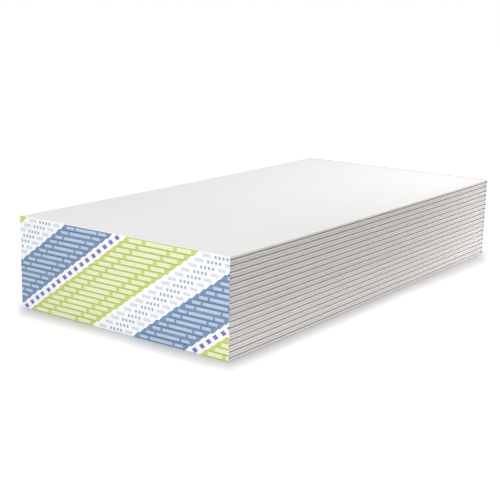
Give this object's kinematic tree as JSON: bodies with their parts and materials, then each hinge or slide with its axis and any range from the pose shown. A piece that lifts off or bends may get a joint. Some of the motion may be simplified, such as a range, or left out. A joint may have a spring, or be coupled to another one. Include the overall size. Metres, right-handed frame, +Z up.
{
  "type": "drywall sheet stack",
  "caption": "Square stack of gypsum drywall sheets with tapered long edges, taped face to face in pairs by a paper tape folded over each end.",
  "frame": {"origin": "the middle of the stack's underside, on the floor it lies on", "axes": "+X across the sheets, +Y along the sheets from the end with single tapes to the other end, +Z up"},
  "size_m": [1.2216, 2.441, 0.4371],
  "materials": {
    "sheet_paper": "matt off-white board paper, faintly mottled, over a gypsum core",
    "end_tape_paper": "smooth white tape paper, printed over the end with slanting bands"
  },
  "bodies": {
    "root": {"sheet_01": "sheet_paper", "sheet_02": "sheet_paper", "sheet_03": "sheet_paper", "sheet_04": "sheet_paper", "sheet_05": "sheet_paper", "sheet_06": "sheet_paper", "sheet_07": "sheet_paper", "sheet_08": "sheet_paper", "sheet_09": "sheet_paper", "sheet_10": "sheet_paper", "sheet_11": "sheet_paper", "sheet_12": "sheet_paper", "sheet_13": "sheet_paper", "sheet_14": "sheet_paper", "sheet_15": "sheet_paper", "sheet_16": "sheet_paper", "sheet_17": "sheet_paper", "sheet_18": "sheet_paper", "sheet_19": "sheet_paper", "sheet_20": "sheet_paper", "sheet_21": "sheet_paper", "sheet_22": "sheet_paper", "sheet_23": "sheet_paper", "sheet_24": "sheet_paper", "sheet_25": "sheet_paper", "sheet_26": "sheet_paper", "sheet_27": "sheet_paper", "sheet_28": "sheet_paper", "sheet_29": "sheet_paper", "sheet_30": "sheet_paper", "sheet_31": "sheet_paper", "sheet_32": "sheet_paper", "sheet_33": "sheet_paper", "sheet_34": "sheet_paper", "end_tape_01": "end_tape_paper", "end_tape_02": "end_tape_paper", "end_tape_03": "end_tape_paper", "end_tape_04": "end_tape_paper", "end_tape_05": "end_tape_paper", "end_tape_06": "end_tape_paper", "end_tape_07": "end_tape_paper", "end_tape_08": "end_tape_paper", "end_tape_09": "end_tape_paper", "end_tape_10": "end_tape_paper", "end_tape_11": "end_tape_paper", "end_tape_12": "end_tape_paper", "end_tape_13": "end_tape_paper", "end_tape_14": "end_tape_paper", "end_tape_15": "end_tape_paper", "end_tape_16": "end_tape_paper", "end_tape_17": "end_tape_paper", "back_end_tapes": "end_tape_paper"}
  },
  "joints": []
}
